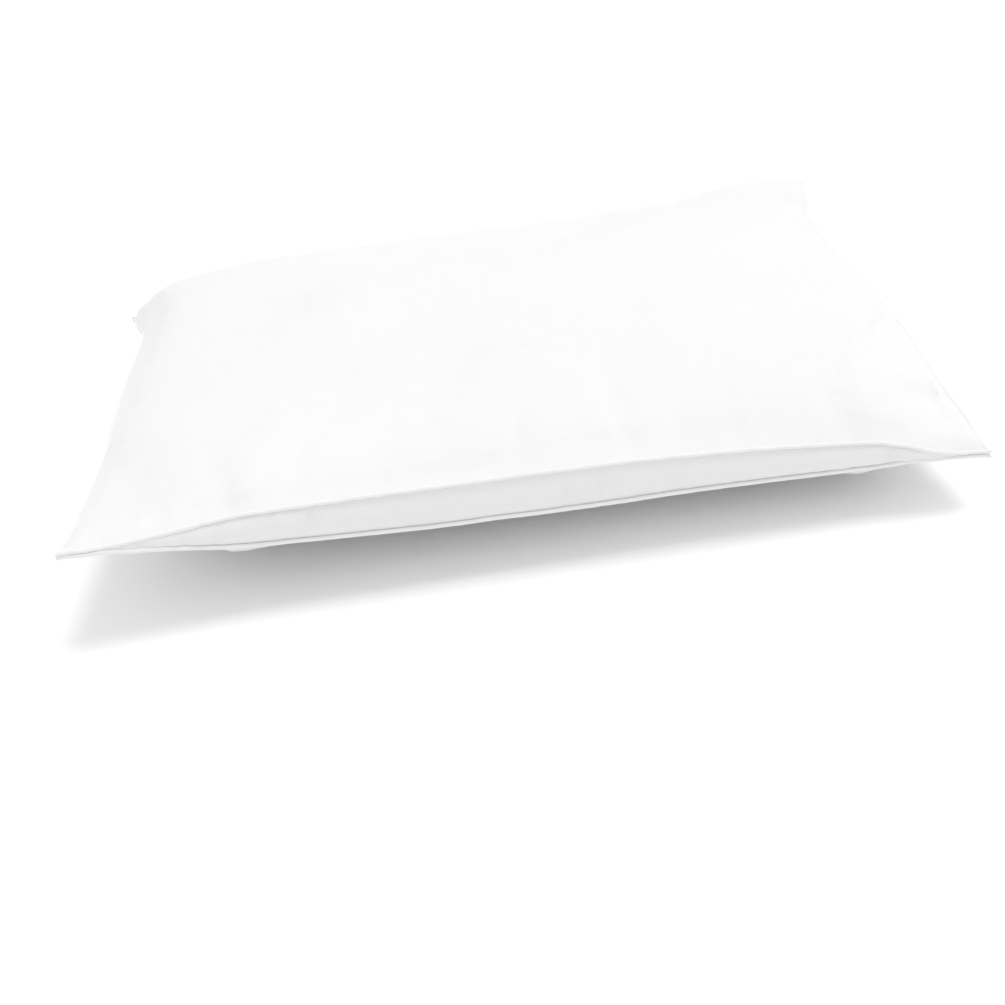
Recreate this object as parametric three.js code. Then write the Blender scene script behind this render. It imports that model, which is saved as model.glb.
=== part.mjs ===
// Gusseted bed pillow: two panels, four tapered gusset strips, piped seams and a fibre filling.
// Millimetres, +Z up. +X runs along the length, the front gusset faces -Y, and the pillow
// rests on z = 0 with the origin under its middle.
import * as THREE from 'three';
import { mergeVertices } from 'three/addons/utils/BufferGeometryUtils.js';

// ---- Overall size ----
const TIP_LENGTH = 711;        // corner tip to corner tip along X
const TIP_DEPTH = 508;         // corner tip to corner tip along Y
const LOFT = 138;              // height of the crown above the floor
const FLOOR_SETTLE = 8;        // how far the filled pillow settles on its own weight
const GUSSET_HEIGHT = 42;      // seam to seam at the middle of a side
const TWIST = 15;              // lift of two opposite corner tips, and drop of the other two

// ---- Outline ----
const LONG_SIDE_PULL = 15;     // how far the long sides draw in between the corners
const SHORT_SIDE_PULL = 20;    // how far the short sides draw in between the corners
const PULL_POWER = 3.4;        // higher values keep the drawn-in sides straighter
const TAPER_START = 22;        // distance from a corner tip at which the gusset opens
const TAPER_LENGTH = 175;      // distance over which the gusset reaches its full height

// ---- Puffed form ----
const CROWN_POWER = 2.8;       // higher values make the top flatter
const CROWN_ROUNDING = 0.46;   // lower values make the edges fuller and steeper
const GUSSET_BULGE = 5;        // how far the gusset bellies out between its seams

// ---- Cloth, piping and thread ----
const CLOTH = 1;               // finished thickness of a panel or gusset
const CLEARANCE = 0.35;        // gap between pieces that touch
const CORNER_ROOM = 0.9;       // room between flange and panel, which slant apart at a corner
const CORD_RADIUS = 0.9;       // piping filler cord
const PIPING_WALL = 0.5;       // bias strip round the cord
const SEAM_ALLOWANCE = 9;      // width of the piping flange inside the seam
const THREAD_RADIUS = 0.55;    // seam thread
const OVERLOCK_WIDTH = 1.8;    // overlocked edge of the allowance
const OVERLOCK_DEPTH = 1.4;
const CLOSING_LENGTH = 220;    // hand-closed stretch of the back lower seam
const FILL_CLEARANCE = 1.2;    // fibre to seam allowance
const FILL_BELLY = 10;         // how far the fibre swells towards the gusset
const FILL_RIM_LIFT = 0.4;     // fibre above the seam at its rim
const FILL_RIM_DROP = 3;       // fibre below the seam before it swells out
const FILL_BELLY_SHARE = 0.5;  // share of the half gusset over which the fibre swells fully
const FILL_LEAST_SHARE = 0.7;  // the least share of the half gusset that its rim keeps

// ---- Facets ----
const LENGTH_STEPS = 20;
const DEPTH_STEPS = 14;
const CLOSING_STEPS = 8;
const GUSSET_STEPS = 4;        // from seam to seam
const FILL_RIM_STEPS = 5;      // down the rim of the filling
const CORD_SIDES = 5;
const THREAD_SIDES = 3;
const PIPING_TURNS = 6;        // facets round the piping
const PIPING_MOUTH = 0.86;     // share of the turn that the piping closes round its cord
const EDGE_CROWDING = 0.55;    // how much the facets crowd towards the seams

// ---- Sizes that follow ----
const HALF_LENGTH = TIP_LENGTH / 2;
const HALF_DEPTH = TIP_DEPTH / 2;
const CORD_BORE = CORD_RADIUS + CLEARANCE;
const PIPING_RADIUS = CORD_BORE + PIPING_WALL;
const PIPING_REACH = PIPING_RADIUS + CLEARANCE;
const MIDDLE_HEIGHT = LOFT / 2 - FLOOR_SETTLE / 2;
const SEAM_TIP_LENGTH = HALF_LENGTH - PIPING_RADIUS;
const SEAM_TIP_DEPTH = HALF_DEPTH - PIPING_RADIUS;
const FLANGE_HALF = CLEARANCE / 2 + PIPING_WALL;
const THREAD_DROP = FLANGE_HALF + CLEARANCE + THREAD_RADIUS;
const TIP_GAP = 2 * Math.max(PIPING_REACH, THREAD_DROP + THREAD_RADIUS + CLEARANCE / 2);
const PANEL_INSET = PIPING_REACH;
const THREAD_OUT = -PANEL_INSET - SEAM_ALLOWANCE / 4;
const PANEL_LIFT = Math.max(FLANGE_HALF, OVERLOCK_DEPTH / 2) + CORNER_ROOM;
const TOP_CROWN = LOFT - MIDDLE_HEIGHT - GUSSET_HEIGHT / 2 - PANEL_LIFT - CLOTH;
const GUSSET_INSET = CLOTH / 2;
const OVERLOCK_INSET = PIPING_RADIUS + SEAM_ALLOWANCE + CLEARANCE;
const FILL_INSET = OVERLOCK_INSET + OVERLOCK_WIDTH + FILL_CLEARANCE;

const COTTON = { color: 0xf6f6f5, roughness: 0.92, metalness: 0 };
const PIPING_COTTON = { color: 0xfafaf9, roughness: 0.88, metalness: 0 };
const CORD_COTTON = { color: 0xf1efe9, roughness: 0.95, metalness: 0 };
const THREAD = { color: 0xf4f4f2, roughness: 0.7, metalness: 0 };
const FIBRE = { color: 0xfbfbfa, roughness: 1, metalness: 0 };

const pillow = new THREE.Group();
pillow.name = 'gusseted_bed_pillow';

function smooth(value) {
  const t = Math.min(Math.max(value, 0), 1);
  return t * t * (3 - 2 * t);
}

// Facet lines: even steps blended with ones that crowd towards -1 and +1.
function crowd(t) {
  return (1 - EDGE_CROWDING) * t + EDGE_CROWDING * Math.sin(t * Math.PI / 2);
}

// Plan position of (u, v), each -1 to 1, on an outline moved inwards by the inset.
function plan(u, v, inset) {
  const x = SEAM_TIP_LENGTH - inset - SHORT_SIDE_PULL * (1 - Math.abs(v) ** PULL_POWER);
  const y = SEAM_TIP_DEPTH - inset - LONG_SIDE_PULL * (1 - Math.abs(u) ** PULL_POWER);
  return [x * u, y * v];
}

// Half of the height between the two seams, at the nearest point of the outline.
function halfGusset(u, v) {
  const alongLength = HALF_LENGTH * (1 - Math.abs(u));
  const alongDepth = HALF_DEPTH * (1 - Math.abs(v));
  const fromTip = Math.hypot(alongLength, alongDepth);
  const opened = smooth((fromTip - TAPER_START) / TAPER_LENGTH);
  return (TIP_GAP + (GUSSET_HEIGHT - TIP_GAP) * opened) / 2;
}

function middleHeight(u, v) {
  return MIDDLE_HEIGHT + TWIST * u * v;
}

// Puff of a panel above its seam, 0 on the outline and 1 in the middle.
function crown(u, v) {
  const across = 1 - Math.abs(u) ** CROWN_POWER;
  const along = 1 - Math.abs(v) ** CROWN_POWER;
  return Math.max(across * along, 0) ** CROWN_ROUNDING;
}

// Outside of a panel (side 1 top, -1 bottom), moved into the pillow by the depth.
function panelHeight(u, v, side, depth) {
  const offset = halfGusset(u, v) + PANEL_LIFT + CLOTH + TOP_CROWN * crown(u, v);
  const height = middleHeight(u, v) + side * offset;
  const settled = side > 0 ? height : Math.max(height, 0);
  return settled - side * depth;
}

function addMesh(name, geometry, finish) {
  geometry.deleteAttribute('normal');
  geometry.deleteAttribute('uv');
  const closed = mergeVertices(geometry, 1e-4);
  closed.computeVertexNormals();
  const mesh = new THREE.Mesh(closed, new THREE.MeshStandardMaterial(finish));
  mesh.name = name;
  pillow.add(mesh);
}

// Opposite faces of a box split their cells along opposite diagonals. Splitting the
// faces that look down an axis the other way makes both skins of a thin sheet run parallel.
function matchDiagonals(box) {
  const index = box.index;
  for (const group of box.groups.filter((face) => face.materialIndex % 2 === 1)) {
    for (let i = group.start; i < group.start + group.count; i += 6) {
      const [a, b, d, c] = [index.getX(i), index.getX(i + 1), index.getX(i + 2), index.getX(i + 4)];
      [a, b, c, a, c, d].forEach((corner, k) => index.setX(i + k, corner));
    }
  }
}

// Moves every point of a box of unit half-size to the place that the map gives it.
function mapBox(steps, map) {
  const box = new THREE.BoxGeometry(2, 2, 2, ...steps);
  matchDiagonals(box);
  const points = box.attributes.position;
  for (let i = 0; i < points.count; i += 1) {
    points.setXYZ(i, ...map(points.getX(i), points.getY(i), points.getZ(i)));
  }
  return box;
}

// ---- Panels ----
function panel(side) {
  return mapBox([LENGTH_STEPS, DEPTH_STEPS, 1], (a, b, c) => {
    const u = crowd(a);
    const v = crowd(b);
    const depth = side * c > 0 ? 0 : CLOTH;
    const [x, y] = plan(u, v, PANEL_INSET);
    return [x, y, panelHeight(u, v, side, depth)];
  });
}

addMesh('top_panel', panel(1), COTTON);
addMesh('bottom_panel', panel(-1), COTTON);

// ---- Gusset strips ----
// a runs along the side, b through the cloth (-1 outside) and c from seam to seam.
function gusset(alongLength, side) {
  const steps = alongLength ? LENGTH_STEPS : DEPTH_STEPS;
  const turn = alongLength ? -side : side;
  return mapBox([steps, 1, GUSSET_STEPS], (a, b, c) => {
    const along = crowd(turn * a);
    const u = alongLength ? along : side;
    const v = alongLength ? side : along;
    const reach = Math.max(halfGusset(u, v) - PIPING_REACH, CLEARANCE / 2);
    const bulge = GUSSET_BULGE * (reach / (GUSSET_HEIGHT / 2)) * (1 - c * c);
    const inset = b < 0 ? GUSSET_INSET - CLOTH : GUSSET_INSET;
    const [x, y] = plan(u, v, inset);
    const [endX, endY] = plan(u, v, GUSSET_INSET);
    const height = middleHeight(u, v) + c * reach;
    if (alongLength) {
      return [endX * endTrim(along, HALF_LENGTH), y + side * bulge, height];
    }
    return [x + side * bulge, endY * endTrim(along, HALF_DEPTH), height];
  });
}

// Pulls the two end rows of a strip back from the corner, so that two strips never meet.
function endTrim(along, half) {
  const trimmed = 1 - (CLOTH + CLEARANCE) / half;
  return Math.abs(along) > 1 - 1e-6 ? trimmed : 1;
}

addMesh('gusset_front', gusset(true, -1), COTTON);
addMesh('gusset_back', gusset(true, 1), COTTON);
addMesh('gusset_left', gusset(false, -1), COTTON);
addMesh('gusset_right', gusset(false, 1), COTTON);

// ---- Loops that run round the pillow on a seam ----
function outline() {
  const stations = [];
  for (let i = 0; i < LENGTH_STEPS; i += 1) {
    stations.push([crowd(-1 + 2 * i / LENGTH_STEPS), -1]);
  }
  for (let i = 0; i < DEPTH_STEPS; i += 1) {
    stations.push([1, crowd(-1 + 2 * i / DEPTH_STEPS)]);
  }
  for (let i = 0; i < LENGTH_STEPS; i += 1) {
    stations.push([crowd(1 - 2 * i / LENGTH_STEPS), 1]);
  }
  for (let i = 0; i < DEPTH_STEPS; i += 1) {
    stations.push([-1, crowd(1 - 2 * i / DEPTH_STEPS)]);
  }
  return stations;
}

const OUTLINE = outline();

// Seam height at a point that stands outwards of the seam by the given distance.
function seamHeight(u, v, side, out) {
  const nearU = u * (1 + out / HALF_LENGTH);
  const nearV = v * (1 + out / HALF_DEPTH);
  return middleHeight(nearU, nearV) + side * halfGusset(u, v);
}

// A ring whose section is a list of [outwards, up] points, counter-clockwise.
function seamLoop(side, section) {
  const sides = section.length;
  const ring = new THREE.TorusGeometry(2, 1, sides, OUTLINE.length);
  const points = ring.attributes.position;
  for (let i = 0; i < points.count; i += 1) {
    const [u, v] = OUTLINE[i % (OUTLINE.length + 1) % OUTLINE.length];
    const [out, up] = section[Math.floor(i / (OUTLINE.length + 1)) % sides];
    const [x, y] = plan(u, v, -out);
    points.setXYZ(i, x, y, seamHeight(u, v, side, out) + up);
  }
  return ring;
}

function roundSection(radius, sides, out, up) {
  const section = [];
  for (let i = 0; i < sides; i += 1) {
    const angle = 2 * Math.PI * (i + 0.5) / sides;
    section.push([out + radius * Math.cos(angle), up + radius * Math.sin(angle)]);
  }
  return section;
}

// Bias strip folded round its cord: an open ring whose two leaves form the flange.
function pipingSection() {
  const mouth = Math.PI * PIPING_MOUTH;
  const flangeEnd = -PIPING_RADIUS - SEAM_ALLOWANCE;
  const leafInside = CLEARANCE / 2;
  const section = [];
  section.push([flangeEnd, -FLANGE_HALF]);
  for (let i = 0; i <= PIPING_TURNS; i += 1) {
    const angle = -mouth + 2 * mouth * i / PIPING_TURNS;
    section.push([PIPING_RADIUS * Math.cos(angle), PIPING_RADIUS * Math.sin(angle)]);
  }
  section.push([flangeEnd, FLANGE_HALF]);
  section.push([flangeEnd, leafInside]);
  for (let i = PIPING_TURNS; i >= 0; i -= 1) {
    const angle = -mouth + 2 * mouth * i / PIPING_TURNS;
    section.push([CORD_BORE * Math.cos(angle), CORD_BORE * Math.sin(angle)]);
  }
  section.push([flangeEnd, -leafInside]);
  return section;
}

for (const [name, side] of [['top', 1], ['bottom', -1]]) {
  addMesh(`${name}_piping`, seamLoop(side, pipingSection()), PIPING_COTTON);
  addMesh(`${name}_piping_cord`, seamLoop(side, roundSection(CORD_RADIUS, CORD_SIDES, 0, 0)), CORD_COTTON);
  const thread = roundSection(THREAD_RADIUS, THREAD_SIDES, THREAD_OUT, -side * THREAD_DROP);
  addMesh(`${name}_seam_thread`, seamLoop(side, thread), THREAD);
  const overlock = [
    [-OVERLOCK_INSET, -OVERLOCK_DEPTH / 2],
    [-OVERLOCK_INSET, OVERLOCK_DEPTH / 2],
    [-OVERLOCK_INSET - OVERLOCK_WIDTH, OVERLOCK_DEPTH / 2],
    [-OVERLOCK_INSET - OVERLOCK_WIDTH, -OVERLOCK_DEPTH / 2],
  ];
  addMesh(`${name}_seam_overlock`, seamLoop(side, overlock), THREAD);
}

// ---- Hand-closed stretch of the back lower seam ----
// The thread follows the outline facets, so it keeps the same gap from the flange all along.
function closingStitch() {
  const out = THREAD_OUT - 2 * THREAD_RADIUS - CLEARANCE;
  const span = CLOSING_LENGTH / TIP_LENGTH;
  return mapBox([CLOSING_STEPS, 1, 1], (a, b, c) => {
    const u = a * span;
    const [x, y] = plan(u, 1, -out);
    const height = seamHeight(u, 1, -1, out) + THREAD_DROP;
    return [x, y + b * THREAD_RADIUS, height + c * THREAD_RADIUS];
  });
}

addMesh('closing_stitch', closingStitch(), THREAD);

// ---- Fibre filling ----
// Inside the panels it shares their facet lines. Its rim stops short of the seam allowances
// and bellies out between them, towards the gusset.
function fibreRim(u, v, level) {
  const half = halfGusset(u, v);
  const fullness = (half - TIP_GAP / 2) / (GUSSET_HEIGHT / 2 - TIP_GAP / 2);
  const belly = Math.abs(level) < 0.5;
  const out = belly ? FILL_BELLY * fullness : 0;
  let reach = half + FILL_RIM_LIFT;
  if (belly) {
    reach = half * FILL_BELLY_SHARE;
  } else if (Math.abs(level) < 1) {
    reach = Math.max(half - FILL_RIM_DROP, half * FILL_LEAST_SHARE);
  }
  const [x, y] = plan(u, v, FILL_INSET - out);
  return [x, y, middleHeight(u, v) + Math.sign(level) * reach];
}

function fibre() {
  return mapBox([LENGTH_STEPS, DEPTH_STEPS, FILL_RIM_STEPS], (a, b, c) => {
    const u = crowd(a);
    const v = crowd(b);
    if (Math.max(Math.abs(a), Math.abs(b)) > 1 - 1e-6) {
      return fibreRim(u, v, c);
    }
    const [x, y] = plan(u, v, PANEL_INSET);
    return [x, y, panelHeight(u, v, c, CLOTH + CLEARANCE)];
  });
}

addMesh('fibre_fill', fibre(), FIBRE);

export default pillow;
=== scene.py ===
# Gusseted bed pillow: cloth-simulated cover, piping and filling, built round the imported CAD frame.
import math

import bpy
import numpy as np
from mathutils import Matrix, Vector


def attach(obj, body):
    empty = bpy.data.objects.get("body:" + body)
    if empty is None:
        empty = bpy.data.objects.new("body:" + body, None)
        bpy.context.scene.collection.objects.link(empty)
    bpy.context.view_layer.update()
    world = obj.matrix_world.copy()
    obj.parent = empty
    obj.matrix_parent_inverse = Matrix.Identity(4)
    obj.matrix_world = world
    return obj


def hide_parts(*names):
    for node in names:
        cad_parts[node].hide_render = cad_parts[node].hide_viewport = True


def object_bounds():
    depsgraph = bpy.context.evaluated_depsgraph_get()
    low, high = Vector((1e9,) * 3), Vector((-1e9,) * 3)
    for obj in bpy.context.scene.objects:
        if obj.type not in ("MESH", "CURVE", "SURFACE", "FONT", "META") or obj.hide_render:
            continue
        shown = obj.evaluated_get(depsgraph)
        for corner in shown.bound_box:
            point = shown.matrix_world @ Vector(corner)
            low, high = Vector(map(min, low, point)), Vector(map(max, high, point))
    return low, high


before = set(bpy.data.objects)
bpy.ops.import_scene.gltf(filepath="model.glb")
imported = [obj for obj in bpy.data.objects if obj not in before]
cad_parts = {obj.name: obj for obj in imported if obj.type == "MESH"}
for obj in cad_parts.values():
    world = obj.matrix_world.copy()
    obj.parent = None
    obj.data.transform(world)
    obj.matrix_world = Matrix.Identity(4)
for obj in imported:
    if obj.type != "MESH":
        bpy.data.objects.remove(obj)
CAD_LOW, CAD_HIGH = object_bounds()

# ---- Camera: position and angles of the studio view, around the pillow's middle ----
LENS_PX = 1500.0
IMAGE_PX = 1005.0
SENSOR_MM = 36.0
CAMERA_YAW = math.radians(-2.62)
CAMERA_ELEVATION = math.radians(32.02)
CAMERA_ROLL = math.radians(-7.57)
CAMERA_DISTANCE = 1.344
CAMERA_ASIDE = 0.0059
CAMERA_BELOW = -0.1278
AIM_HEIGHT = 0.065

# ---- Studio ----
FLOOR_SIZE = 60.0
FLOOR_GAP = 0.0004
FLOOR_SHADE = (0.96, 0.96, 0.96)
FILL_LIGHT = 0.9
KEY_LIGHT = 1.16
KEY_SOFTNESS = 28.0
KEY_FROM = (0.3, 0.06, 1.0)

# ---- Cover: the CAD's overall size, with its own side pulls, gusset, crown and twist ----
PIPING_RADIUS = 0.00175
LENGTH = CAD_HIGH.x - CAD_LOW.x
DEPTH = CAD_HIGH.y - CAD_LOW.y
LOFT = CAD_HIGH.z
SEAM_LENGTH = LENGTH - 2 * PIPING_RADIUS
SEAM_DEPTH = DEPTH - 2 * PIPING_RADIUS
LONG_SIDE_PULL = 0.027
SHORT_SIDE_PULL = 0.034
LONG_PULL_POWER = 3.4
SHORT_PULL_POWER = 2.7
PULL_SKEW = 0.6
PULL_EASE = 0.25
GUSSET_HEIGHT = 0.044
TIP_HEIGHT = 0.0042
TAPER_START = 0.022
TAPER_LENGTH = 0.105
TAPER_SKEW = 0.4
GUSSET_BULGE = 0.003
GUSSET_TAUT = 0.7
SEAM_OUT = 0.006
PANEL_LIFT = 0.002
LIFT_WIDTH = 0.008
CROWN = 0.050
CROWN_POWER = 3.0
CROWN_ROUNDING = 0.4
BACK_CORNER_FILL = 3.0
LEFT_SHARE = 0.45
FILL_SHIFT = 0.02
CELLS_X = 128
CELLS_Y = 92
CELLS_Z = 7
CROWDING = 0.35
TWIST = 0.02
TWIST_POWER = 1.6
FLOOR_SETTLE = 0.004
SOFT_CONTACT = 0.004
CORNER_LIFTS = [(-0.84, 0.8, 0.011), (0.88, 0.86, 0.016)]
CORNER_SPREAD = 0.06
CORNER_FADE = 0.022
CLOTH = 0.0009
SHARP_ANGLE = math.radians(50)

# ---- Simulation ----
FRAMES = 24
PRESSURE = 1.5
SEAM_GATHER = 0.06
MOST_MOVE = 0.014
SIM_SEED = 7
START_NOISE = 0.0003
GATHER_RATES = (7, 11, 17, 26, 37)
GATHER_MEAN = 0.62
GATHER_WAVE = 0.22
GATHER_LEAST = 0.25
CLOTH_SETTINGS = {
    "quality": 6, "mass": 0.15, "air_damping": 2.0,
    "tension_stiffness": 30, "compression_stiffness": 60, "shear_stiffness": 10,
    "bending_stiffness": 0.02, "tension_damping": 10, "compression_damping": 15,
    "shear_damping": 8, "bending_damping": 0.5,
}

# ---- Puckers along the seams: how many on each side, then ranges in metres ----
PUCKER_SEED = 23
PANEL_PUCKERS = {"front": 15, "right": 9, "back": 13, "left": 9}
PUCKER_WIDTH = (0.006, 0.011)
PUCKER_REACH = (0.03, 0.1)
PUCKER_DEPTH = (0.0006, 0.0018)
PUCKER_LEAN = 0.25
PUCKER_SCATTER = (0.1, 0.9)
PUCKER_SPAN = 0.88
PUCKER_RISE = 0.3
GUSSET_PUCKERS = {"front": 22, "right": 14, "back": 20, "left": 14}
GUSSET_PUCKER_WIDTH = (0.004, 0.008)
GUSSET_PUCKER_DEPTH = (0.0008, 0.0022)
GUSSET_PUCKER_SPAN = 0.86
GUSSET_PUCKER_MIDDLE = 0.5
GUSSET_PUCKER_TALL = 0.7

# ---- Seam build: piping strip round its cord, its flange inside the cover, threads on the flange ----
CORD_BORE = 0.0012
CORD_RADIUS = 0.0009
FLANGE_HALF = 0.0006
FLANGE_LEAF = 0.0001
SEAM_ALLOWANCE = 0.009
PIPING_MOUTH = 0.86
EDGE_IN = 0.0008
EDGE_OFF = 0.00135
EDGE_CLOTH = 0.25
THREAD_RADIUS = 0.0005
THREAD_IN = 0.0035
THREAD_OFF = 0.0012
OVERLOCK_WIDTH = 0.0018
OVERLOCK_HALF = 0.0007
OVERLOCK_GAP = 0.0002
CLOSING_LENGTH = 0.22
STITCH_STEP = 0.005
STITCH_LENGTH = 0.0034
STITCH_RADIUS = 0.00035
STITCH_SIDES = 6
STITCH_RUN = 0.75
STITCH_CLIMB = 0.66
STITCH_RINGS = [(-1.0, 0.35), (-0.7, 0.9), (0.0, 1.0), (0.7, 0.9), (1.0, 0.35)]

# ---- Fibre filling ----
FILL_COARSE = 2
FILL_INSET = 0.013
FILL_BELLY_INSET = 0.004
FILL_BELLY_LEVEL = 0.45
FILL_CLEARANCE = 0.0025
FILL_LEAST = 0.3

# ---- Materials: yarn spacing, near-white tones, and creases as (noise scale, stretch, depth) ----
WAVE_TURN = 0.31416
PANEL_YARN = 0.0006
PANEL_TONES = ((0.785, 0.786, 0.79), (0.825, 0.825, 0.825))
# The gusset tones are a little darker than the panel tones of the same cotton: painted shade on the upright
# sides, which take less of the light from above.
GUSSET_SHADED_TONES = ((0.775, 0.776, 0.78), (0.812, 0.812, 0.812))
PANEL_CREASE = (26.0, None, 0.0011)
LONG_CREASE = (90.0, (1.0, 1.0, 0.25), 0.001)
SHORT_CREASE = (90.0, (1.0, 1.0, 0.25), 0.001)
PIPING_CREASE = (160.0, None, 0.0006)
COTTON_WAVINESS = 0.6
CLOUD_SHARE = 0.7
SLUB_DEPTH = 0.00012
THREAD_TONES = ((0.82, 0.82, 0.81), (0.93, 0.93, 0.925))
THREAD_TWIST = 0.0009
CORD_TONES = ((0.78, 0.76, 0.71), (0.88, 0.86, 0.81))
CORD_TWIST = 0.0016
FIBRE_TONES = ((0.84, 0.84, 0.84), (0.95, 0.95, 0.95))

# ---- The four sides in order round the seam: their first grid point on it, and their cells ----
SIDE_CELLS = {"front": CELLS_X, "right": CELLS_Y, "back": CELLS_X, "left": CELLS_Y}
SIDE_STARTS = {"front": 0, "right": CELLS_X, "back": CELLS_X + CELLS_Y, "left": 2 * CELLS_X + CELLS_Y}


def smooth(t):
    t = np.clip(t, 0.0, 1.0)
    return t * t * (3.0 - 2.0 * t)


def crowd(t):
    return (1 - CROWDING) * t + CROWDING * np.sin(t * math.pi / 2)


def half_gusset(u, v):
    """Half the height between the seams nearest to cover point (u, v)."""
    from_tip = np.hypot(LENGTH / 2 * (1 - np.abs(u)), DEPTH / 2 * (1 - np.abs(v)))
    opened = smooth((from_tip - TAPER_START) / (TAPER_LENGTH * (1 - TAPER_SKEW * u)))
    return (TIP_HEIGHT + (GUSSET_HEIGHT - TIP_HEIGHT) * opened) / 2


def plan(u, v):
    """Seen from above: the sides draw in between the tips, the left one closest to its tips."""
    short_power = SHORT_PULL_POWER * (1 - PULL_EASE * u)
    x = SEAM_LENGTH / 2 - SHORT_SIDE_PULL * (1 + PULL_SKEW * v) * (1 - np.abs(v) ** short_power)
    y = SEAM_DEPTH / 2 - LONG_SIDE_PULL * (1 - np.abs(u) ** LONG_PULL_POWER)
    return np.column_stack([x * u, y * v])


def crown(u, v):
    """Height of the filling over the seams, from 0 to 1. It fills the back corners most."""
    power = CROWN_POWER + BACK_CORNER_FILL * smooth((v + 1) / 2) * (1 - LEFT_SHARE * u)
    across = 1 - np.abs(u) ** power
    along = 1 - np.abs(v) ** power
    return np.maximum(across * along, 0) ** CROWN_ROUNDING


def outline_uv():
    """Grid corners of the seam, once round from the front left tip."""
    front = [(i, 0) for i in range(CELLS_X)]
    right = [(CELLS_X, j) for j in range(CELLS_Y)]
    back = [(i, CELLS_Y) for i in range(CELLS_X, 0, -1)]
    left = [(0, j) for j in range(CELLS_Y, 0, -1)]
    return np.array(front + right + back + left)


def grid_uv():
    """Both panels' grid of cover points, from -1 to 1 along each side, row by row from the front."""
    u, v = np.meshgrid(crowd(np.linspace(-1, 1, CELLS_X + 1)), crowd(np.linspace(-1, 1, CELLS_Y + 1)))
    return u.ravel(), v.ravel()


def seam_distance():
    """How far each point of a panel's grid is from the nearest seam, on the flat cut."""
    u, v = grid_uv()
    return np.minimum((1 - np.abs(u)) * LENGTH / 2, (1 - np.abs(v)) * DEPTH / 2)


def cover_pattern():
    """Vertices and quads of the sewn cover, each quad's part, and the rings from seam to seam."""
    nx, ny = CELLS_X + 1, CELLS_Y + 1
    u, v = grid_uv()
    rise = half_gusset(u, v) + CROWN * crown(u, v)
    flat = plan(u, v)
    shift = -FILL_SHIFT * u * v * crown(u, v)
    top = np.column_stack([flat, rise + shift])
    bottom = np.column_stack([flat, -rise])
    cells = outline_uv()
    ring = cells[:, 1] * nx + cells[:, 0]
    side = np.zeros((len(ring), 2))
    side[cells[:, 0] == 0, 0] = -1
    side[cells[:, 0] == CELLS_X, 0] = 1
    side[cells[:, 1] == 0, 1] = -1
    side[cells[:, 1] == CELLS_Y, 1] = 1
    rows = []
    for k in range(1, CELLS_Z):
        level = 1 - 2 * k / CELLS_Z
        row = top[ring].copy()
        fullness = row[:, 2] / (GUSSET_HEIGHT / 2)
        row[:, :2] += side * (GUSSET_BULGE * (1 - level ** 2) * fullness)[:, None]
        row[:, 2] *= level
        rows.append(row)
    points = np.vstack([top, bottom] + rows)
    n = nx * ny
    m = len(ring)
    loops = [ring] + [2 * n + (k - 1) * m + np.arange(m) for k in range(1, CELLS_Z)] + [n + ring]
    quads, part = [], []
    for j in range(CELLS_Y):
        for i in range(CELLS_X):
            a = j * nx + i
            quads.append((a, a + 1, a + nx + 1, a + nx))
            part.append(0)
    for j in range(CELLS_Y):
        for i in range(CELLS_X):
            a = n + j * nx + i
            quads.append((a, a + nx, a + nx + 1, a + 1))
            part.append(1)
    sides = np.array([2] * CELLS_X + [3] * CELLS_Y + [4] * CELLS_X + [5] * CELLS_Y)
    for k in range(CELLS_Z):
        upper, lower = loops[k], loops[k + 1]
        for i in range(m):
            quads.append((lower[i], lower[(i + 1) % m], upper[(i + 1) % m], upper[i]))
            part.append(sides[i])
    return points, np.array(quads), np.array(part), loops


def make_mesh(name, points, faces):
    mesh = bpy.data.meshes.new(name)
    mesh.from_pydata([tuple(p) for p in points], [], [tuple(int(i) for i in f) for f in faces])
    mesh.validate()
    mesh.shade_smooth()
    mesh.set_sharp_from_angle(angle=SHARP_ANGLE)
    obj = bpy.data.objects.new(name, mesh)
    bpy.context.collection.objects.link(obj)
    return obj


def gather_weights(count, rng):
    """Uneven stitch tension along a seam, up to 1, changing every few centimetres."""
    phase = np.arange(count) / count * 2 * math.pi
    wave = sum(math.cos(a) * np.cos(k * phase) + math.sin(a) * np.sin(k * phase)
               for k, a in zip(GATHER_RATES, rng.uniform(0, 2 * math.pi, len(GATHER_RATES))))
    return np.clip(GATHER_MEAN + GATHER_WAVE * wave, GATHER_LEAST, 1.0)


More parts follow.
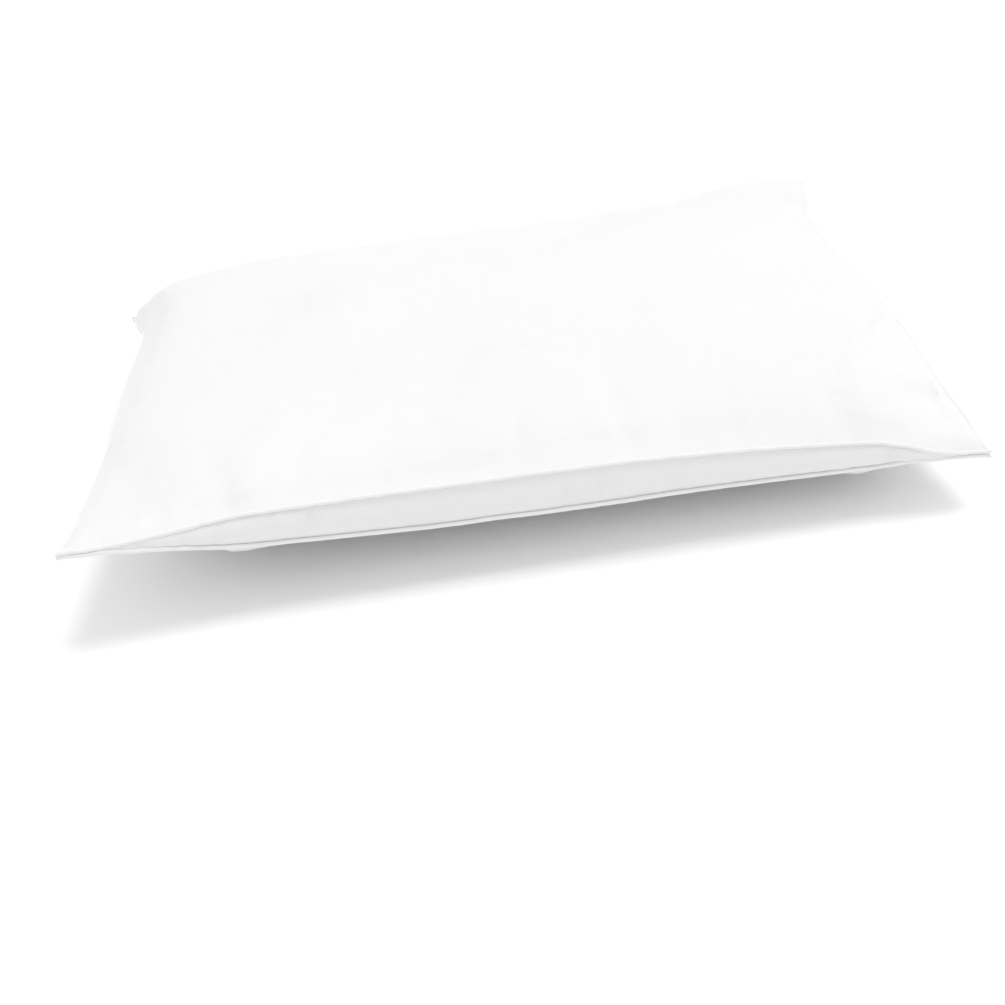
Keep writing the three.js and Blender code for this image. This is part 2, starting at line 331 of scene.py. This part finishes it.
def simulate(points, faces, loops):
    """Puffs the cover with its seams gathered, then caps how far each point moves."""
    rng = np.random.default_rng(SIM_SEED)
    start = points + rng.normal(0, START_NOISE, points.shape)
    obj = make_mesh("cover_sim", start, faces)
    gather = obj.vertex_groups.new(name="gather")
    for loop in (loops[0], loops[-1]):
        for index, pull in zip(loop, gather_weights(len(loop), rng)):
            gather.add([int(index)], float(pull), "REPLACE")
    pinned = [int(loop[tip]) for loop in loops for tip in SIDE_STARTS.values()]
    pin = obj.vertex_groups.new(name="pin")
    pin.add(pinned, 1.0, "REPLACE")
    cloth = obj.modifiers.new("cloth", "CLOTH")
    settings = cloth.settings
    for name, value in CLOTH_SETTINGS.items():
        setattr(settings, name, value)
    settings.vertex_group_mass = "pin"
    settings.vertex_group_shrink = "gather"
    settings.shrink_min = 0.0
    settings.shrink_max = SEAM_GATHER
    settings.use_pressure = True
    settings.uniform_pressure_force = PRESSURE
    settings.effector_weights.gravity = 0
    cloth.collision_settings.use_collision = False
    cloth.collision_settings.use_self_collision = False
    scene = bpy.context.scene
    scene.frame_start, scene.frame_end = 1, FRAMES
    cloth.point_cache.frame_start, cloth.point_cache.frame_end = 1, FRAMES
    for step in range(1, FRAMES + 1):
        scene.frame_set(step)
    done = obj.evaluated_get(bpy.context.evaluated_depsgraph_get())
    out = np.zeros(len(points) * 3)
    done.data.vertices.foreach_get("co", out)
    scene.frame_set(1)
    bpy.data.objects.remove(obj, do_unlink=True)
    move = out.reshape(-1, 3) - points
    far = np.linalg.norm(move, axis=1)[:, None]
    return points + move * (MOST_MOVE * np.tanh(far / MOST_MOVE) / np.maximum(far, 1e-9))


def ricker(t):
    """A valley with a low swelling on either side."""
    return (1 - 2 * t * t) * np.exp(-t * t)


def pucker_panel(rng, points, side, count, reach_axis):
    """Depth of the tucks that run from one side's seam into a panel grid of points."""
    along = 1 - reach_axis
    edge = {"front": points[:, 1].min(), "back": points[:, 1].max(),
            "left": points[:, 0].min(), "right": points[:, 0].max()}[side]
    inward = np.abs(points[:, reach_axis] - edge)
    span = np.ptp(points[:, along]) * PUCKER_SPAN
    depth = np.zeros(len(points))
    places = (np.arange(count) + rng.uniform(*PUCKER_SCATTER, count)) / count - 0.5
    for place in places:
        width = rng.uniform(*PUCKER_WIDTH)
        reach = rng.uniform(*PUCKER_REACH)
        lean = rng.uniform(-PUCKER_LEAN, PUCKER_LEAN)
        most = rng.uniform(*PUCKER_DEPTH)
        spread = width * (1 + inward / reach)
        offset = points[:, along] - place * span - lean * inward
        rise = inward / (reach * PUCKER_RISE)
        depth += most * ricker(offset / spread) * np.clip(rise * np.exp(1 - rise), 0, 1)
    return depth


def pucker_gusset(rng, points, side, count, level):
    """Depth of the upright tucks between the two seams of one gusset side."""
    along = 0 if side in ("front", "back") else 1
    span = np.ptp(points[:, along]) * GUSSET_PUCKER_SPAN
    depth = np.zeros(len(points))
    places = (np.arange(count) + rng.uniform(0.0, 1.0, count)) / count - 0.5
    for place in places:
        width = rng.uniform(*GUSSET_PUCKER_WIDTH)
        lean = rng.uniform(-PUCKER_LEAN, PUCKER_LEAN)
        most = rng.uniform(*GUSSET_PUCKER_DEPTH)
        high = rng.uniform(-GUSSET_PUCKER_MIDDLE, GUSSET_PUCKER_MIDDLE)
        offset = points[:, along] - place * span - lean * level * GUSSET_HEIGHT / 2
        depth += most * ricker(offset / width) * np.exp(-((level - high) / GUSSET_PUCKER_TALL) ** 2)
    return depth * (1 - level ** 2)


def pucker(points, quads, loops):
    """Presses the seam tucks into the puffed cover, along its normals. The seams stay in place."""
    rng = np.random.default_rng(PUCKER_SEED)
    normals = vertex_normals(points, quads)
    n = (CELLS_X + 1) * (CELLS_Y + 1)
    depth = np.zeros(len(points))
    for grid in (slice(0, n), slice(n, 2 * n)):
        for side, count in PANEL_PUCKERS.items():
            reach_axis = 1 if side in ("front", "back") else 0
            depth[grid] += pucker_panel(rng, points[grid], side, count, reach_axis)
    for side, start in SIDE_STARTS.items():
        cells = SIDE_CELLS[side]
        rows = [loop[start + 1:start + cells] for loop in loops[1:-1]]
        level = np.repeat([1 - 2 * k / CELLS_Z for k in range(1, CELLS_Z)], cells - 1)
        index = np.concatenate(rows)
        depth[index] += pucker_gusset(rng, points[index], side, GUSSET_PUCKERS[side], level)
    for loop in (loops[0], loops[-1]):
        depth[loop] = 0
    return points - normals * depth[:, None]


# ---- Form ----
def lift_panels(points):
    """Moves both panels away from the seam allowances, most needed at the shallow corner tips."""
    p = points.copy()
    n = (CELLS_X + 1) * (CELLS_Y + 1)
    lift = PANEL_LIFT * smooth(seam_distance() / LIFT_WIDTH)
    p[:n, 2] += lift
    p[n:2 * n, 2] -= lift
    return p


def tighten_gussets(points, loops):
    """Draws each gusset most of the way back to a flat strip between its two seams."""
    p = points.copy()
    for ring in (loops[0], loops[-1]):
        partner = loops[-1] if ring is loops[0] else loops[0]
        opened = np.abs(points[ring, 2] - points[partner, 2]) / GUSSET_HEIGHT
        p[ring] += outwards(p[ring]) * (SEAM_OUT * np.clip(opened, 0, 1))[:, None]
    top, bottom = p[loops[0]], p[loops[-1]]
    fullness = (top[:, 2] - bottom[:, 2]) / GUSSET_HEIGHT
    out = outwards((top + bottom) / 2)
    for k, loop in enumerate(loops[1:-1], 1):
        level = 1 - 2 * k / CELLS_Z
        flat = top * (1 + level) / 2 + bottom * (1 - level) / 2
        flat += out * (GUSSET_BULGE * (1 - level ** 2) * fullness)[:, None]
        p[loop] += (flat - p[loop]) * GUSSET_TAUT
    return p


def settle(points):
    """Brings the puffed cover to the frame's size, twists it as it lies and rests it on the floor."""
    p = points.copy()
    for axis, wanted in ((0, SEAM_LENGTH), (1, SEAM_DEPTH), (2, LOFT + FLOOR_SETTLE)):
        low, high = p[:, axis].min(), p[:, axis].max()
        p[:, axis] = (p[:, axis] - (low + high) / 2) * (wanted / (high - low))
    a, b = p[:, 0] / (LENGTH / 2), p[:, 1] / (DEPTH / 2)
    p[:, 2] += corner_fill(p, a, b)
    p[:, 2] += TWIST * np.sign(a * b) * np.abs(a * b) ** TWIST_POWER
    p[:, 2] += LOFT - p[:, 2].max()
    p[:, 2] = floor_contact(p[:, 2])
    return p


def corner_fill(p, a, b):
    """Extra height of the top panel where the filling has packed into the back corners."""
    lift = np.zeros(len(p))
    top = slice(0, (CELLS_X + 1) * (CELLS_Y + 1))
    fade = smooth(seam_distance() / CORNER_FADE)
    for at_a, at_b, height in CORNER_LIFTS:
        away = np.hypot((a[top] - at_a) * LENGTH / 2, (b[top] - at_b) * DEPTH / 2)
        lift[top] += height * np.exp(-(away / CORNER_SPREAD) ** 2) * fade
    return lift


def floor_contact(z):
    """Presses everything below the floor flat on it, with a soft turn into the contact."""
    pressed = SOFT_CONTACT * np.exp(np.minimum(z - SOFT_CONTACT, 0) / SOFT_CONTACT)
    return np.where(z < SOFT_CONTACT, pressed, z)


def vertex_normals(points, quads):
    normal = np.zeros_like(points)
    a, b, c, d = (points[quads[:, i]] for i in range(4))
    face = np.cross(c - a, d - b)
    for i in range(4):
        np.add.at(normal, quads[:, i], face)
    return normal / np.linalg.norm(normal, axis=1)[:, None]


def outwards(points):
    """Level direction out of the cover at each seam point, one unit long square to the side."""
    a, b = points[:, 0] / (LENGTH / 2), points[:, 1] / (DEPTH / 2)
    most = np.maximum(np.abs(a), np.abs(b))
    return np.column_stack([a / most, b / most, np.zeros(len(points))])


def cloth_part(name, points, quads, normals, edges):
    """A closed sheet of cloth: the outer skin, the same skin inside it, and the cut edge.

    edges lists (ring, inwards, up): how far its seam points move off the seam line. They end in the piping.
    """
    skin = points.copy()
    for ring, inwards, up in edges:
        skin[ring] += outwards(points[ring]) * -inwards + np.array([0, 0, up])
    used = np.unique(quads)
    index = np.full(len(points), -1)
    index[used] = np.arange(len(used))
    q = index[quads]
    outer = skin[used]
    thick = np.full(len(points), CLOTH)
    for ring, _, _ in edges:
        thick[ring] = CLOTH * EDGE_CLOTH
    inner = outer - normals[used] * thick[used][:, None]
    n = len(used)
    edge = {(f[i], f[(i + 1) % 4]) for f in q for i in range(4)}
    rim = sorted((a, b) for a, b in edge if (b, a) not in edge)
    faces = [tuple(f) for f in q]
    faces += [tuple(f[::-1] + n) for f in q]
    faces += [(b, a, a + n, b + n) for a, b in rim]
    return make_mesh(name, np.vstack([outer, inner]), faces)


def sweep_loop(name, points, section):
    """A closed ring along a seam. The section lists [outwards, up] offsets, counter-clockwise."""
    out = outwards(points)
    m, k = len(points), len(section)
    ring = np.vstack([points + out * a + np.array([0, 0, b]) for a, b in section])
    faces = []
    for j in range(k):
        for i in range(m):
            a, b = j * m + i, j * m + (i + 1) % m
            c, d = (j + 1) % k * m + (i + 1) % m, (j + 1) % k * m + i
            faces.append((a, b, c, d))
    return make_mesh(name, ring, faces)


def circle(radius, sides, out=0.0, up=0.0):
    turns = [2 * math.pi * (i + 0.5) / sides for i in range(sides)]
    return [(out + radius * math.cos(t), up + radius * math.sin(t)) for t in turns]


def arc(radius, steps):
    turns = [math.pi * PIPING_MOUTH * (2 * i / steps - 1) for i in range(steps + 1)]
    return [(radius * math.cos(t), radius * math.sin(t)) for t in turns]


def piping_section():
    """A bias strip folded round its cord: an open ring whose two leaves make the flange."""
    end = -PIPING_RADIUS - SEAM_ALLOWANCE
    outside = [(end, -FLANGE_HALF)] + arc(PIPING_RADIUS, 9) + [(end, FLANGE_HALF)]
    inside = [(end, FLANGE_LEAF)] + arc(CORD_BORE, 6)[::-1] + [(end, -FLANGE_LEAF)]
    return outside + inside


def overlock_section():
    end = -PIPING_RADIUS - SEAM_ALLOWANCE - OVERLOCK_GAP
    return [(end - OVERLOCK_WIDTH, -OVERLOCK_HALF), (end, -OVERLOCK_HALF),
            (end, OVERLOCK_HALF), (end - OVERLOCK_WIDTH, OVERLOCK_HALF)]


def closing_stitches(points):
    """Slanting hand stitches that close the turning gap, along the middle of one seam."""
    x = points[:, 0]
    order = np.argsort(x)
    count = int(CLOSING_LENGTH / STITCH_STEP)
    verts, faces = [], []
    rings, sides = STITCH_RINGS, STITCH_SIDES
    for i in range(count):
        middle = (i + 0.5) * STITCH_STEP - CLOSING_LENGTH / 2
        y = np.interp(middle, x[order], points[order, 1])
        z = np.interp(middle, x[order], points[order, 2])
        centre = np.array([middle, y - STITCH_RADIUS, z + PIPING_RADIUS + STITCH_RADIUS])
        ahead = np.array([STITCH_RUN, 0.0, STITCH_CLIMB])
        across = np.array([STITCH_CLIMB, 0.0, -STITCH_RUN])
        base = len(verts)
        for place, thick in rings:
            bow = np.array([0, STITCH_RADIUS * (1 - place * place), 0])
            for k in range(sides):
                t = 2 * math.pi * k / sides
                round_ = across * math.cos(t) + np.array([0, 1.0, 0]) * math.sin(t)
                verts.append(centre + ahead * place * STITCH_LENGTH / 2 + bow
                             + round_ * STITCH_RADIUS * thick)
        for j in range(len(rings) - 1):
            for k in range(sides):
                a, b = base + j * sides + k, base + j * sides + (k + 1) % sides
                faces.append((a, b, b + sides, a + sides))
        faces.append([base + k for k in range(sides)][::-1])
        faces.append([base + (len(rings) - 1) * sides + k for k in range(sides)])
    return make_mesh("closing_stitches", np.array(verts), faces)


def filling(points):
    """The fibre block: it follows both panels and bellies out between the seam allowances."""
    nx, ny = CELLS_X + 1, CELLS_Y + 1
    grid = nx * ny
    top, bottom = points[:grid].reshape(ny, nx, 3), points[grid:2 * grid].reshape(ny, nx, 3)
    step = FILL_COARSE
    top, bottom = top[::step, ::step].copy(), bottom[::step, ::step].copy()
    middle = (top[..., 2] + bottom[..., 2]) / 2
    half = (top[..., 2] - bottom[..., 2]) / 2
    half = np.maximum(half - FILL_CLEARANCE, half * FILL_LEAST)
    shrink = np.array([1 - FILL_INSET / (LENGTH / 2), 1 - FILL_INSET / (DEPTH / 2)])
    plan_xy = (top[..., :2] + bottom[..., :2]) / 2
    rows, cols = middle.shape
    flat = plan_xy * shrink
    up = np.dstack([flat, middle + half]).reshape(-1, 3)
    down = np.dstack([flat, middle - half]).reshape(-1, 3)
    ring = (list(range(cols - 1))
            + [j * cols + cols - 1 for j in range(rows - 1)]
            + [(rows - 1) * cols + i for i in range(cols - 1, 0, -1)]
            + [j * cols for j in range(rows - 1, 0, -1)])
    edge = plan_xy.reshape(-1, 2)[ring]
    wide = 1 - FILL_BELLY_INSET / np.array([LENGTH / 2, DEPTH / 2])
    full = (half.reshape(-1)[ring] / (GUSSET_HEIGHT / 2))[:, None]
    belly = edge * (shrink + (wide - shrink) * np.clip(full, 0, 1))
    mid, tall = middle.reshape(-1)[ring], half.reshape(-1)[ring]
    upper = np.column_stack([belly, mid + tall * FILL_BELLY_LEVEL])
    lower = np.column_stack([belly, mid - tall * FILL_BELLY_LEVEL])
    verts = np.vstack([up, down, upper, lower])
    n, m = rows * cols, len(ring)
    faces = []
    for j in range(rows - 1):
        for i in range(cols - 1):
            a = j * cols + i
            faces.append((a, a + 1, a + cols + 1, a + cols))
            faces.append((n + a, n + a + cols, n + a + cols + 1, n + a + 1))
    bands = [np.array(ring), 2 * n + np.arange(m), 2 * n + m + np.arange(m), n + np.array(ring)]
    for high, low in zip(bands, bands[1:]):
        for i in range(m):
            faces.append((low[i], low[(i + 1) % m], high[(i + 1) % m], high[i]))
    return make_mesh("fibre_filling", verts, faces)


# ---- Camera, floor and light ----
def make_camera():
    yaw, pitch, roll = CAMERA_YAW, CAMERA_ELEVATION, CAMERA_ROLL
    back = Vector((math.sin(yaw) * math.cos(pitch), -math.cos(yaw) * math.cos(pitch), math.sin(pitch)))
    level = Vector((math.cos(yaw), math.sin(yaw), 0))
    rise = back.cross(level)
    right = math.cos(roll) * level + math.sin(roll) * rise
    up = -math.sin(roll) * level + math.cos(roll) * rise
    data = bpy.data.cameras.new("camera")
    data.lens = LENS_PX / IMAGE_PX * SENSOR_MM
    data.sensor_width = SENSOR_MM
    data.clip_start, data.clip_end = 0.05, 50
    camera = bpy.data.objects.new("camera", data)
    turn = Matrix((right, up, back)).transposed()
    place = back * CAMERA_DISTANCE + right * CAMERA_ASIDE + up * CAMERA_BELOW + Vector((0, 0, AIM_HEIGHT))
    camera.matrix_world = Matrix.Translation(place) @ turn.to_4x4()
    bpy.context.collection.objects.link(camera)
    bpy.context.scene.camera = camera


def make_stage():
    size = FLOOR_SIZE / 2
    corners = [(-size, -size, 0), (size, -size, 0), (size, size, 0), (-size, size, 0)]
    floor = make_mesh("floor", corners, [(0, 1, 2, 3)])
    floor.location.z = -FLOOR_GAP
    mat = bpy.data.materials.new("pale_floor")
    mat.use_nodes = True
    shader = mat.node_tree.nodes["Principled BSDF"]
    shader.inputs["Base Color"].default_value = (*FLOOR_SHADE, 1)
    shader.inputs["Roughness"].default_value = 0.9
    shader.inputs["Specular IOR Level"].default_value = 0.2
    floor.data.materials.append(mat)
    world = bpy.data.worlds.new("studio")
    world.use_nodes = True
    sky = world.node_tree.nodes["Background"]
    sky.inputs["Color"].default_value = (1, 1, 1, 1)
    sky.inputs["Strength"].default_value = FILL_LIGHT
    bpy.context.scene.world = world
    data = bpy.data.lights.new("key", "SUN")
    data.energy = KEY_LIGHT
    data.angle = math.radians(KEY_SOFTNESS)
    key = bpy.data.objects.new("key", data)
    key.rotation_mode = "QUATERNION"
    key.rotation_quaternion = (-Vector(KEY_FROM)).to_track_quat("-Z", "Y")
    bpy.context.collection.objects.link(key)
    view = bpy.context.scene.view_settings
    view.view_transform = "Standard"
    view.look = "None"
    view.exposure = 0.0


# ---- Materials ----
def new_material(name, roughness, sheen):
    mat = bpy.data.materials.new(name)
    mat.use_nodes = True
    shader = mat.node_tree.nodes["Principled BSDF"]
    shader.inputs["Roughness"].default_value = roughness
    shader.inputs["Sheen Weight"].default_value = sheen
    shader.inputs["Sheen Roughness"].default_value = 0.5
    shader.inputs["Specular IOR Level"].default_value = 0.2
    return mat, mat.node_tree.nodes, mat.node_tree.links, shader


def noise(nodes, links, place, scale, detail=2.0, stretch=None):
    """A noise node in metres, drawn out along an axis where stretch says so."""
    node = nodes.new("ShaderNodeTexNoise")
    node.inputs["Scale"].default_value = scale
    node.inputs["Detail"].default_value = detail
    if stretch:
        mapping = nodes.new("ShaderNodeMapping")
        mapping.inputs["Scale"].default_value = stretch
        links.new(place, mapping.inputs["Vector"])
        place = mapping.outputs["Vector"]
    links.new(place, node.inputs["Vector"])
    return node.outputs["Fac"]


def yarns(nodes, links, place, axis, spacing, waviness):
    """Even ribs, one for each yarn, square to an axis."""
    node = nodes.new("ShaderNodeTexWave")
    node.wave_type = "BANDS"
    node.bands_direction = axis
    node.wave_profile = "SIN"
    node.inputs["Scale"].default_value = WAVE_TURN / spacing
    node.inputs["Distortion"].default_value = waviness
    node.inputs["Detail"].default_value = 1.0
    node.inputs["Detail Scale"].default_value = 0.6
    links.new(place, node.inputs["Vector"])
    return node.outputs["Fac"]


def maths(nodes, links, operation, a, b):
    node = nodes.new("ShaderNodeMath")
    node.operation = operation
    for socket, value in zip(node.inputs, (a, b)):
        if isinstance(value, (int, float)):
            socket.default_value = value
        else:
            links.new(value, socket)
    return node.outputs["Value"]


def bump(nodes, links, height, distance, strength, under=None):
    node = nodes.new("ShaderNodeBump")
    node.inputs["Distance"].default_value = distance
    node.inputs["Strength"].default_value = strength
    links.new(height, node.inputs["Height"])
    if under is not None:
        links.new(under, node.inputs["Normal"])
    return node.outputs["Normal"]


def tint(nodes, links, amount, dark, light):
    """A ramp between two close colours."""
    node = nodes.new("ShaderNodeMix")
    node.data_type = "RGBA"
    links.new(amount, node.inputs["Factor"])
    node.inputs["A"].default_value = (*dark, 1)
    node.inputs["B"].default_value = (*light, 1)
    return node.outputs["Result"]


def spread(nodes, links, value, low, high):
    """Maps 0..1 to low..high."""
    return maths(nodes, links, "ADD", maths(nodes, links, "MULTIPLY", value, high - low), low)


def cotton(name, warp, weft, spacing, dark, light, crease):
    """Plain-weave cotton. warp and weft are the axes that its yarns are square to."""
    mat, nodes, links, shader = new_material(name, 0.85, 0.08)
    place = nodes.new("ShaderNodeTexCoord").outputs["Object"]
    weave = maths(nodes, links, "MULTIPLY", yarns(nodes, links, place, warp, spacing, COTTON_WAVINESS),
                  yarns(nodes, links, place, weft, spacing, COTTON_WAVINESS))
    slub = noise(nodes, links, place, 420.0, 3.0)
    cloud = noise(nodes, links, place, 9.0, 3.0)
    crumple = noise(nodes, links, place, crease[0], 2.5, crease[1])
    patches = maths(nodes, links, "MULTIPLY", cloud, CLOUD_SHARE)
    ribs = maths(nodes, links, "MULTIPLY", weave, 1 - CLOUD_SHARE)
    tone = maths(nodes, links, "ADD", patches, ribs)
    links.new(tint(nodes, links, tone, dark, light), shader.inputs["Base Color"])
    links.new(spread(nodes, links, slub, 0.76, 0.94), shader.inputs["Roughness"])
    soft = bump(nodes, links, crumple, crease[2], 0.8)
    nubby = bump(nodes, links, slub, SLUB_DEPTH, 0.5, soft)
    links.new(bump(nodes, links, weave, SLUB_DEPTH, 0.7, nubby), shader.inputs["Normal"])
    return mat


def thread(name):
    """Spun polyester thread: fine slanting twist, a little gloss."""
    mat, nodes, links, shader = new_material(name, 0.5, 0.05)
    place = nodes.new("ShaderNodeTexCoord").outputs["Object"]
    twist = yarns(nodes, links, place, "DIAGONAL", THREAD_TWIST, 0.2)
    links.new(tint(nodes, links, twist, *THREAD_TONES), shader.inputs["Base Color"])
    links.new(spread(nodes, links, twist, 0.42, 0.6), shader.inputs["Roughness"])
    links.new(bump(nodes, links, twist, 0.0002, 0.8), shader.inputs["Normal"])
    return mat


def cord_yarn(name):
    """Twisted cotton filler cord."""
    mat, nodes, links, shader = new_material(name, 0.9, 0.2)
    place = nodes.new("ShaderNodeTexCoord").outputs["Object"]
    twist = yarns(nodes, links, place, "DIAGONAL", CORD_TWIST, 0.5)
    fuzz = noise(nodes, links, place, 1500.0, 3.0)
    links.new(tint(nodes, links, twist, *CORD_TONES), shader.inputs["Base Color"])
    links.new(spread(nodes, links, fuzz, 0.8, 0.98), shader.inputs["Roughness"])
    links.new(bump(nodes, links, twist, 0.0004, 0.9), shader.inputs["Normal"])
    return mat


def fibre(name):
    """Carded polyester fibre: tangled strands and soft clumps."""
    mat, nodes, links, shader = new_material(name, 0.95, 0.4)
    place = nodes.new("ShaderNodeTexCoord").outputs["Object"]
    strands = noise(nodes, links, place, 220.0, 6.0, (1.0, 0.25, 1.0))
    clumps = noise(nodes, links, place, 28.0, 3.0)
    links.new(tint(nodes, links, strands, *FIBRE_TONES), shader.inputs["Base Color"])
    links.new(spread(nodes, links, strands, 0.85, 1.0), shader.inputs["Roughness"])
    soft = bump(nodes, links, clumps, 0.004, 0.6)
    links.new(bump(nodes, links, strands, 0.0012, 0.8, soft), shader.inputs["Normal"])
    return mat


def gusset_cut(top, bottom, side, length):
    """Flat size of one gusset strip, and its area: it narrows to a point at both ends."""
    index = (SIDE_STARTS[side] + np.arange(SIDE_CELLS[side] + 1)) % len(top)
    heights = np.linalg.norm(top[index] - bottom[index], axis=1)
    along = np.linalg.norm(np.diff(top[index], axis=0), axis=1)
    area = (along * (heights[1:] + heights[:-1]) / 2).sum()
    return (length, float(heights.max())), float(area)


def finish_piece(piece, material, node):
    piece.data.materials.append(material)
    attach(piece, "root")
    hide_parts(node)
    return piece


make_camera()
points, quads, part, loops = cover_pattern()
points = simulate(points, quads, loops)
points = tighten_gussets(lift_panels(points), loops)
points = settle(pucker(points, quads, loops))
normals = vertex_normals(points, quads)
top_ring, bottom_ring = loops[0], loops[-1]

# The panels enter their piping from above and below, and the gussets from between the two.
PANEL_EDGE = {0: [(top_ring, EDGE_IN, EDGE_OFF)], 1: [(bottom_ring, EDGE_IN, -EDGE_OFF)]}
GUSSET_EDGES = [(top_ring, EDGE_OFF, -EDGE_IN), (bottom_ring, EDGE_OFF, EDGE_IN)]
panel_cotton = cotton("panel_cotton_weave", "X", "Y", PANEL_YARN, *PANEL_TONES, PANEL_CREASE)
# The two gusset materials take the darker gusset tones, painted shade on the upright sides; the panels and
# the piping take the panel tones.
long_shaded_cotton = cotton("long_gusset_weave_painted_shade", "X", "Z", PANEL_YARN, *GUSSET_SHADED_TONES, LONG_CREASE)
short_shaded_cotton = cotton("short_gusset_weave_painted_shade", "Y", "Z", PANEL_YARN, *GUSSET_SHADED_TONES, SHORT_CREASE)
piping_cotton = cotton("piping_weave", "DIAGONAL", "Z", PANEL_YARN, *PANEL_TONES, PIPING_CREASE)
seam_thread = thread("seam_thread_twist")
filler_yarn = cord_yarn("filler_cord_yarn")
fibre_white = fibre("polyester_fibre")

PANEL_FLAT = (LENGTH, DEPTH)
PANEL = ("panel_cotton", panel_cotton, PANEL_FLAT, None)
CLOTH_PARTS = [("top_panel", 0, *PANEL), ("bottom_panel", 1, *PANEL)]
for number, (side, weave, length) in enumerate(
        (("front", long_shaded_cotton, LENGTH), ("right", short_shaded_cotton, DEPTH),
         ("back", long_shaded_cotton, LENGTH), ("left", short_shaded_cotton, DEPTH)), 2):
    flat, area = gusset_cut(points[top_ring], points[bottom_ring], side, length)
    CLOTH_PARTS.append((f"gusset_{side}", number, "gusset_cotton", weave, flat, area))
fill_piece = finish_piece(filling(points), fibre_white, "fibre_fill")
for node, number, slot, material, flat, area in CLOTH_PARTS:
    edges = PANEL_EDGE.get(number, GUSSET_EDGES)
    piece = cloth_part(f"{node}_cloth", points, quads[part == number], normals, edges)
    finish_piece(piece, material, node)
for side, ring, sign in (("top", top_ring, 1), ("bottom", bottom_ring, -1)):
    seam = points[ring]
    inner = -PIPING_RADIUS - THREAD_IN
    finish_piece(sweep_loop(f"{side}_piping_strip", seam, piping_section()), piping_cotton,
                 f"{side}_piping")
    finish_piece(sweep_loop(f"{side}_filler_cord", seam, circle(CORD_RADIUS, 6)), filler_yarn,
                 f"{side}_piping_cord")
    finish_piece(sweep_loop(f"{side}_seam_stitching", seam,
                            circle(THREAD_RADIUS, 4, inner, -sign * THREAD_OFF)), seam_thread,
                 f"{side}_seam_thread")
    finish_piece(sweep_loop(f"{side}_overlocking", seam, overlock_section()), seam_thread,
                 f"{side}_seam_overlock")
back_side = bottom_ring[SIDE_STARTS["back"]:SIDE_STARTS["left"] + 1]
finish_piece(closing_stitches(points[back_side]), seam_thread, "closing_stitch")

make_stage()
